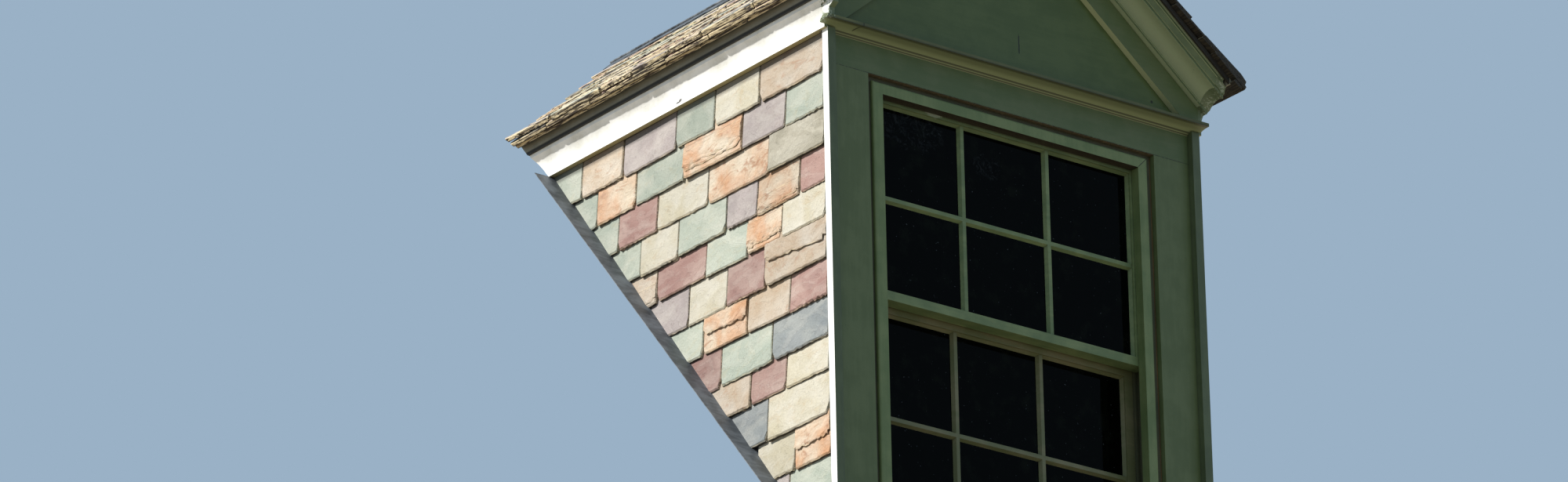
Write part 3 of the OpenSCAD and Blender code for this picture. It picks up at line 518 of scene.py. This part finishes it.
def riven_slate(name, pale, deep, stain, grit=0.5, swell=2.0):
    """Slate split by hand and never polished: flat cleft steps, mineral clouds and rusty veins, matt
    and with no wet look. Each slate's own number, in the attribute "split", moves the pattern and
    tints the stone. Painted shade, nearly black, lies under the overhangs, on the ends that hang over
    the gable and on the cheeks close under the eaves. grit is how strongly the veins stain it, and
    swell about how far the face rises and falls, in millimetres."""
    finish, tree, shader, where = new_finish(name)
    axis = add(tree, SPLIT, (where,)).outputs
    facing = add(tree, SPLIT, (add(tree, "ShaderNodeNewGeometry").outputs["Normal"],)).outputs
    number = add(tree, "ShaderNodeAttribute", attribute_name="split").outputs["Fac"]
    own = add(tree, MATH, (number, 40.0), **TIMES)
    drawn = add(tree, MAPPING, {"Vector": where, "Scale": (1, 0.5, 1)})
    # mineral clouds 110 mm across, veins 40 mm apart and grit of 5 mm
    cloud = add(tree, NOISE, {"Vector": where, "W": own, "Scale": 9.0, "Detail": 4.0,
                              "Distortion": 0.6}, **SHIFTED)
    vein = add(tree, NOISE, {"Vector": drawn, "W": own, "Scale": 24.0, "Detail": 5.0, "Roughness": 0.6,
                             "Distortion": 1.6}, **SHIFTED)
    fine = add(tree, NOISE, {"Vector": where, "W": own, "Scale": 200.0, "Detail": 4.0,
                             "Roughness": 0.65}, **SHIFTED)
    # cleft steps about 60 mm apart, each about a millimetre deep
    cleft = add(tree, NOISE, {"Vector": drawn, "W": own, "Scale": 17.0, "Detail": 3.0,
                              "Roughness": 0.45, "Distortion": 0.9}, **SHIFTED)
    steps = add(tree, MATH, (add(tree, MATH, (fine, 0.06, cleft), **TIMES_PLUS), 0.085), operation="SNAP")
    clouded = add(tree, RANGE, (cloud, 0.32, 0.68), **SOFT)
    colour = add(tree, MIX, (clouded, linear(pale), linear(deep)), **RGB)
    veined = add(tree, RANGE, (vein, 0.53, 0.66, 0.0, grit), **SOFT)
    colour = add(tree, MIX, (veined, colour, linear(stain)), **RGB)
    high = add(tree, RANGE, (steps, 0.4, 0.65, 0.0, 0.2))
    colour = add(tree, MIX, (high, colour, linear(CLEFT_GREY)), **RGB)
    gritty = add(tree, RANGE, (fine, 0.35, 0.7, 0.18, 0.0))
    colour = add(tree, MIX, (gritty, colour, linear(GRIT_BROWN)), **RGB)
    shade = add(tree, RANGE, (number, 0.0, 1.0, 0.8, 1.02))
    colour = add(tree, VECTOR, (colour.outputs[2], add(tree, JOIN, (shade, shade, shade))), **TIMES)
    # torn edges show the bed's layers, 4 mm apart, browned by rust and lichen
    bedding = add(tree, MAPPING, {"Vector": where, "Scale": (1, 0.06, 1)})
    beds = add(tree, NOISE, {"Vector": bedding, "W": own, "Scale": 260.0, "Detail": 3.0,
                             "Roughness": 0.6}, **SHIFTED)
    layers = add(tree, RANGE, (beds, 0.44, 0.57), **SOFT)
    torn = add(tree, MIX, (layers, linear(BED_DARK), linear(BED_PALE)), **RGB)
    rim = add(tree, "ShaderNodeAttribute", attribute_name="rim").outputs["Fac"]
    tone = add(tree, RANGE, (axis[2], *mm(CHEEKS_END, ROOF_BEGINS), 0.4, 0.95))
    colour = add(tree, MIX, (add(tree, RANGE, (rim, 0.15, 0.8, 0.0, tone)), colour, torn), **RGB)
    # painted shade, nearly black, under the overhangs and on the ends that hang over the gable
    forward = add(tree, RANGE, (facing[1], -0.45, -0.25, 1.0, 0.0))
    hung = add(tree, RANGE, (axis[1], *mm(SLATE_FRONT + 9, SLATE_FRONT + 19), 1.0, 0.0))
    black = add(tree, MATH, (forward, hung), **TIMES)
    black = add(tree, MATH, (black, add(tree, RANGE, (facing[2], -0.75, -0.7, 1.0, 0.0))), **LARGER)
    on_roof = add(tree, RANGE, (axis[2], *mm(CHEEKS_END, ROOF_BEGINS), 0.0, 0.95))
    black = add(tree, MATH, (black, on_roof), **TIMES)
    black = add(tree, MATH, (black, add(tree, RANGE, (facing[2], -0.92, -0.78, 0.92, 0.0))), **LARGER)
    colour = add(tree, MIX, (black, colour, linear(SHADE_BLACK)), **RGB)
    # painted shade on the cheeks close up under the eaves
    eave_shade = add(tree, RANGE, (axis[2], *mm(FASCIA_FOOT - 32, FASCIA_FOOT - 22), 0.0, 0.55))
    on_cheek = add(tree, RANGE, (axis[2], *mm(CHEEKS_END - 10, CHEEKS_END), 1.0, 0.0))
    eave_shade = add(tree, MATH, (eave_shade, on_cheek), **TIMES)
    colour = add(tree, MIX, (eave_shade, colour, linear(SHADE_BLACK)), **RGB)
    tree.links.new(colour.outputs[2], shader.inputs["Base Color"])
    shader.inputs["Roughness"].default_value = 0.75
    height = add(tree, MATH, (steps, 9.0, add(tree, MATH, (fine, 0.8), **TIMES)), **TIMES_PLUS)
    height = add(tree, MATH, (vein, swell * 0.3, height), **TIMES_PLUS)
    height = add(tree, MATH, (cloud, swell * 2, height), **TIMES_PLUS)
    bump = add(tree, BUMP, {"Strength": 0.85, "Distance": 1.6 * MM, "Height": height})
    tree.links.new(bump.outputs[0], shader.inputs["Normal"])
    return finish


# The kinds of slate: two tones of the stone, its stain, its grit and, for some, its swell
KINDS = {
    "cream": riven_slate("cream riven slate", "#BCB7A8", "#B0A890", "#A58A5F", 0.3),
    "buff": riven_slate("buff riven slate", "#BBAF9F", "#AF9A81", "#9C6F4B", 0.5, 3.0),
    "green": riven_slate("sea-green riven slate", "#A5AA9C", "#929C8F", "#A59C7C", 0.25),
    "stone": riven_slate("stone-grey riven slate", "#979180", "#85806F", "#B9B3A2", 0.35, 3.0),
    "lilac": riven_slate("lilac riven slate", "#A69B98", "#958B89", "#83726C", 0.3),
    "rust": riven_slate("rusty riven slate", "#C1B29C", "#B4835A", "#95623A", 0.75, 6.0),
    "rose": riven_slate("rose riven slate", "#9F8076", "#8B655D", "#7A544E", 0.5),
    "blue": riven_slate("blue-grey riven slate", "#858B8B", "#747C80", "#63696C", 0.4),
}
# The left cheek's courses from the eaves down: each slate's kind and its width from the window back
LEFT_CHEEK = (
    (("buff", 302), ("cream", 215), ("green", 188), ("lilac", 262), ("buff", 206), ("green", 190)),
    (("green", 183), ("lilac", 205), ("rust", 280), ("green", 238), ("rust", 192), ("green", 210)),
    (("stone", 264), ("rust", 292), ("cream", 246), ("rose", 190), ("green", 200)),
    (("rose", 121), ("rust", 200), ("lilac", 146), ("green", 232), ("cream", 185), ("green", 200)),
    (("cream", 204), ("rust", 168), ("green", 196), ("rose", 240), ("buff", 200)),
    (("buff", 290), ("rose", 180), ("cream", 186), ("lilac", 190)),
    (("rose", 176), ("buff", 202), ("rust", 210), ("green", 190)),
    (("blue", 264), ("green", 240), ("rose", 180)),
    (("cream", 202), ("rose", 167), ("buff", 190)),
    (("cream", 288), ("blue", 190)),
    (("rust", 168), ("cream", 180)),
    (("green", 200), ("lilac", 180)),
    (("buff", 220),),
)
# The heights of those courses' butts, in millimetres
BUTTS = (1443, 1329, 1216, 1101, 993, 869, 758, 635, 533, 404, 282, 166, 50)
# How common each kind is where slates are taken as they come
STOCK = {"green": 6, "cream": 4, "buff": 4, "lilac": 4, "blue": 3, "rose": 3, "rust": 2}
# How many layers may have broken away from the face of a kind that flakes
FLAKES = {"rust": (0, 1, 2), "buff": (0, 0, 1)}
# The open joint between two slates, and how far a corner may be clipped, in millimetres
JOINT, CLIPS = 3, (0, 0, 3, 5, 8)


def dressed_blank():
    """The slate that all the others are cut from: a square slab, one unit long, wide and thick.
    "edge" says how far a point may be chipped, "near" and "far" mark the two corners that are
    clipped, "rim" the torn edge, and "inset" the way in from it."""
    # short edges along the foot, and three rings of points, each with its height and its bevel
    edges, heights, bevels = 18, (0.0, 0.72, 1.0), (0.0, 0.15, 1.0)
    outline = [(i / edges, 0.0) for i in range(edges)]
    outline += [(1.0, v) for v in (0.0, 0.17, 0.4, 1.0)] + [(0.0, v) for v in (1.0, 0.4, 0.17)]
    count = len(outline)
    points = [(u, v, height) for height in heights for u, v in outline]
    faces = [tuple(range(count))[::-1], tuple(range(2 * count, 3 * count))]
    for low in (0, count):
        faces += [(low + i, low + (i + 1) % count, low + count + (i + 1) % count, low + count + i)
                  for i in range(count)]
    mesh = bpy.data.meshes.new("slate blank")
    mesh.from_pydata(points, [], faces)
    marks = {"edge": lambda u, v, ring: 1.0 if v < 0.05 else 0.75 if v < 0.3 else 0.35,
             "near": lambda u, v, ring: float(u < 0.01 and v < 0.01),
             "far": lambda u, v, ring: float(u > 0.99 and v < 0.01),
             "rim": lambda u, v, ring: (0.8, 1.0, 0.0)[ring]}
    for name, rule in marks.items():
        values = mesh.attributes.new(name, "FLOAT", "POINT").data
        for i in range(3 * count):
            values[i].value = rule(*outline[i % count], i // count)
    inset = mesh.attributes.new("inset", "FLOAT_VECTOR", "POINT").data
    for i in range(3 * count):
        u, v = outline[i % count]
        depth = bevels[i // count]
        across, up = (u < 0.01) - (u > 0.99), (v < 0.01) - (v > 0.99)
        inset[i].vector = (across * depth * 0.4, up * depth, 0)
    blank = bpy.data.objects.new("slate blank", mesh)
    bpy.context.collection.objects.link(blank)
    return blank


def slating_tree():
    """Geometry nodes that hang a slate on every point: its size, turn, wear, clipped corners and kind
    are the point's own, and its edges are chipped at random."""
    tree = bpy.data.node_groups.new("slating", "GeometryNodeTree")
    tree.is_modifier = True
    inputs = {"Points": "Geometry", "Slate blank": "Object", "Bevel": "Float", "Chip size": "Float",
              "Chips per metre": "Float", "Seed": "Float"}
    for name, kind in inputs.items():
        tree.interface.new_socket(name, in_out="INPUT", socket_type="NodeSocket" + kind)
    tree.interface.new_socket("Slates", in_out="OUTPUT", socket_type="NodeSocketGeometry")
    given = add(tree, "NodeGroupInput").outputs
    own = {}
    for kind, names in (("FLOAT_VECTOR", ("turn", "size", "clip", "inset")),
                        ("FLOAT", ("edge", "near", "far", "wear")), ("INT", ("kind",))):
        for name in names:
            own[name] = add(tree, "GeometryNodeInputNamedAttribute", {"Name": name}, data_type=kind)
    blank = add(tree, "GeometryNodeObjectInfo", {"Object": given["Slate blank"]})
    hung = add(tree, "GeometryNodeInstanceOnPoints", {
        "Points": given["Points"], "Instance": blank.outputs["Geometry"],
        "Rotation": add(tree, "FunctionNodeEulerToRotation", (own["turn"],)), "Scale": own["size"]})
    single = add(tree, "GeometryNodeRealizeInstances", (hung,))
    # chips: a random shift, deeper along the foot than up the sides and small across the thickness
    chips = add(tree, NOISE, {
        "Vector": add(tree, "GeometryNodeInputPosition"), "W": given["Seed"],
        "Scale": given["Chips per metre"], "Detail": 3.0}, **SHIFTED).outputs["Color"]
    chips = add(tree, VECTOR, (chips, (0.5, 0.5, 0.5)), **MINUS)
    depth = add(tree, MATH, (own["edge"], own["wear"]), **TIMES)
    depth = add(tree, MATH, (depth, given["Chip size"]), **TIMES)
    chips = add(tree, VECTOR, {0: chips, "Scale": depth}, operation="SCALE")
    chips = add(tree, VECTOR, (chips, (1.0, 1.0, 0.3)), **TIMES)
    # the two lower corners are clipped, and the face's edge is bevelled
    clip = add(tree, SPLIT, (own["clip"],)).outputs
    near = add(tree, MATH, (own["near"], clip[0]), **TIMES)
    far = add(tree, MATH, (own["far"], clip[1]), **TIMES)
    across, up = add(tree, MATH, (near, far), **MINUS), add(tree, MATH, (near, far), **PLUS)
    inward = add(tree, JOIN, (across, up, 0.0))
    bevel = add(tree, VECTOR, {0: own["inset"], "Scale": given["Bevel"]}, operation="SCALE")
    inward = add(tree, VECTOR, (inward, bevel), **PLUS)
    flow = add(tree, "GeometryNodeSetPosition", {
        "Geometry": single, "Offset": add(tree, VECTOR, (chips, inward), **PLUS)})
    for number, kind in enumerate(KINDS.values()):
        same = add(tree, "FunctionNodeCompare", (own["kind"], number), data_type="INT", operation="EQUAL")
        flow = add(tree, "GeometryNodeSetMaterial", {"Geometry": flow, "Selection": same, "Material": kind})
    add(tree, "NodeGroupOutput", (flow,))
    return tree


BLANK, SLATING = dressed_blank(), slating_tree()


def cut_list(rng, courses, first):
    """Every slate of some courses, as (place, turn, size, clip, wear, kind, split), in mm and radians.
    A course is its butt's height, its slates' length, lift and thickness, its end, and its kinds and
    widths. Bedded courses, which have no lift, are laid with more care and never flake."""
    slates = []
    for butt, length, lift, thick, last, row in courses:
        near = first
        for kind, width in row:
            if near >= last:
                break
            bedded = lift <= 0
            care = 0.2 if bedded else 1.0
            depth = thick * rng.uniform(0.85, 1.15)
            twist = rng.uniform(-0.012, 0.012) * care
            place = Vector((near + JOINT / 2 * care, butt + rng.gauss(0, 1.6) * care,
                            lift + abs(twist) * width / 2))
            turn = Vector((-max(lift, 0) / length, twist, rng.gauss(0, 0.004)))
            clip = Vector((rng.choice(CLIPS), rng.choice(CLIPS), 0)) * care
            split = rng.random()
            size = Vector((width - JOINT * care, length, depth))
            slates.append((place, turn, size, clip, rng.uniform(0.6, 1.4) * care, kind, split))
            # layers of the face that have broken away at the foot, with torn edges
            for _ in range(0 if bedded else rng.choice(FLAKES.get(kind, (0,)))):
                on = Vector((1, rng.uniform(8, 70), depth - 0.6))
                askew = Vector((0, 0, rng.uniform(-0.07, 0.07)))
                size = Vector((width - 5, length * rng.uniform(0.25, 0.5), rng.uniform(1.2, 2.2)))
                slates.append((place + on, turn + askew, size, Vector((9, 9, 0)), 2.6, kind, split))
            near += width
    return slates


def set_out(name, slates):
    """A point for every slate, which carries what its own node needs to know."""
    places, turns, sizes, clips, wears, kinds, splits = zip(*slates)
    mesh = bpy.data.meshes.new(name)
    mesh.from_pydata([place * MM for place in places], [], [])
    for key, vectors in (("turn", turns), ("size", [size * MM for size in sizes]),
                         ("clip", [clip * MM for clip in clips])):
        for item, vector in zip(mesh.attributes.new(key, "FLOAT_VECTOR", "POINT").data, vectors):
            item.vector = vector
    order = list(KINDS)
    for key, form, values in (("wear", "FLOAT", wears), ("kind", "INT", [order.index(k) for k in kinds]),
                              ("split", "FLOAT", splits)):
        for item, value in zip(mesh.attributes.new(key, form, "POINT").data, values):
            item.value = value
    points = bpy.data.objects.new(name, mesh)
    bpy.context.collection.objects.link(points)
    return points


def hang(name, seed, courses, first, bevel, frame_axes, cuts):
    """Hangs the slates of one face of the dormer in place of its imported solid, and cuts them off
    where they would pass the planes in cuts, each a point in mm and the way to the side that stays."""
    rng = random.Random(seed)
    points = set_out(name + " points", cut_list(rng, courses(rng), first))
    hanging = points.modifiers.new("slating", "NODES")
    hanging.node_group = SLATING
    values = {"Slate blank": BLANK, "Bevel": bevel * MM, "Chip size": 12 * MM, "Chips per metre": 120.0,
              "Seed": float(seed)}
    for socket in SLATING.interface.items_tree:
        if socket.name in values:
            hanging[socket.identifier] = values[socket.name]
    bpy.context.view_layer.update()
    made = bpy.data.meshes.new_from_object(points.evaluated_get(bpy.context.evaluated_depsgraph_get()))
    bpy.data.objects.remove(points)
    made.transform(frame_axes)
    bm = bmesh.new()
    bm.from_mesh(made)
    for point, keep in cuts:
        bmesh.ops.bisect_plane(bm, geom=bm.verts[:] + bm.edges[:] + bm.faces[:],
                               plane_co=Vector(point) * MM, plane_no=-Vector(keep), clear_outer=True)
        bmesh.ops.holes_fill(bm, edges=[e for e in bm.edges if e.is_boundary])
    bmesh.ops.triangulate(bm, faces=[f for f in bm.faces if len(f.verts) > 4])
    bmesh.ops.recalc_face_normals(bm, faces=bm.faces)
    bm.to_mesh(made)
    bm.free()
    piece = bpy.data.objects.new(name + "_single", made)
    bpy.context.collection.objects.link(piece)
    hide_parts(name)
    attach(piece, "root")


def any_kinds(rng, reach):
    """Slates of mixed kinds and widths that together span the reach."""
    stock = [kind for kind, share in STOCK.items() for _ in range(share)]
    row = []
    while sum(width for _, width in row) < reach:
        row.append((rng.choice(stock), rng.uniform(150, 270)))
    return row


# The slope that the dormer sits on, with 2 mm over it: every slate stays above it
SEAT = ((0, 0, 2), (0, -math.sin(SEAT_PITCH), math.cos(SEAT_PITCH)))


def hang_cheek(side, seed):
    """Slates on one cheek, each course butted 120 mm or so below the last."""
    # in mm: how far a slate runs up under the course above or the fascia, how far its foot stands off
    # the boarding, its thickness and bevel, and how high over its foot a course meets the seat
    lap, lift, thick, bevel, reach = 52, 12.5, 9.2, 6.5, 180

    def courses(rng):
        above = FASCIA_FOOT
        for butt, row in zip(BUTTS, LEFT_CHEEK):
            last = (butt + reach) / math.tan(SEAT_PITCH)
            row = row if side < 0 else any_kinds(rng, last - SLATE_START)
            yield butt, above - butt + lap, lift, thick, last, row
            above = butt

    axes = Matrix(((0, 0, side, side * SLATE_BACK * MM), (1, 0, 0, 0), (0, 1, 0, 0), (0, 0, 0, 1)))
    under_fascia = ((0, 0, FASCIA_FOOT - 1), (0, 0, -1))
    behind_corner = ((0, SLATE_START, 0), (0, 1, 0))
    hang(("left" if side < 0 else "right") + "_cheek_slates", seed, courses, SLATE_START + 2, bevel, axes,
         (SEAT, under_fascia, behind_corner))


def hang_slope(side, seed):
    """Slates on one slope of the gable roof, doubled at the eaves."""
    across, up = math.cos(GABLE_PITCH), math.sin(GABLE_PITCH)
    length, bevel = ROOF_COURSE * 1.5, 8.0

    def courses(rng):
        # slips bedded below the edge, the course doubled under the first, and six courses above:
        # each is its butt's height up the slope, and its slates' length, lift and thickness
        rows = [(10.0, 36.0, -12.0, 12.0), (2.0, ROOF_COURSE + 12, 0.0, 15.0), (5.0, length, 15.0, 17.0)]
        rows += [(i * ROOF_COURSE + 1.5, length, 11.0, 11.0) for i in range(1, 7)]
        for butt, long, lift, thick in rows:
            last = (EAVE_Z + (butt + long) * up) / math.tan(SEAT_PITCH)
            yield butt, long, lift, thick, last, any_kinds(rng, last - SLATE_FRONT)

    axes = Matrix(((0, -side * across, side * up, side * EAVE_X * MM), (1, 0, 0, 0),
                   (0, up, across, EAVE_Z * MM), (0, 0, 0, 1)))
    own_slope = ((side * 2, 0, 0), (side, 0, 0))
    hang(("left" if side < 0 else "right") + "_roof_slates", seed, courses, SLATE_FRONT, bevel, axes,
         (SEAT, own_slope))


hang_cheek(-1, 11)
hang_cheek(1, 12)
hang_slope(-1, 13)
hang_slope(1, 14)
bpy.data.objects.remove(BLANK)
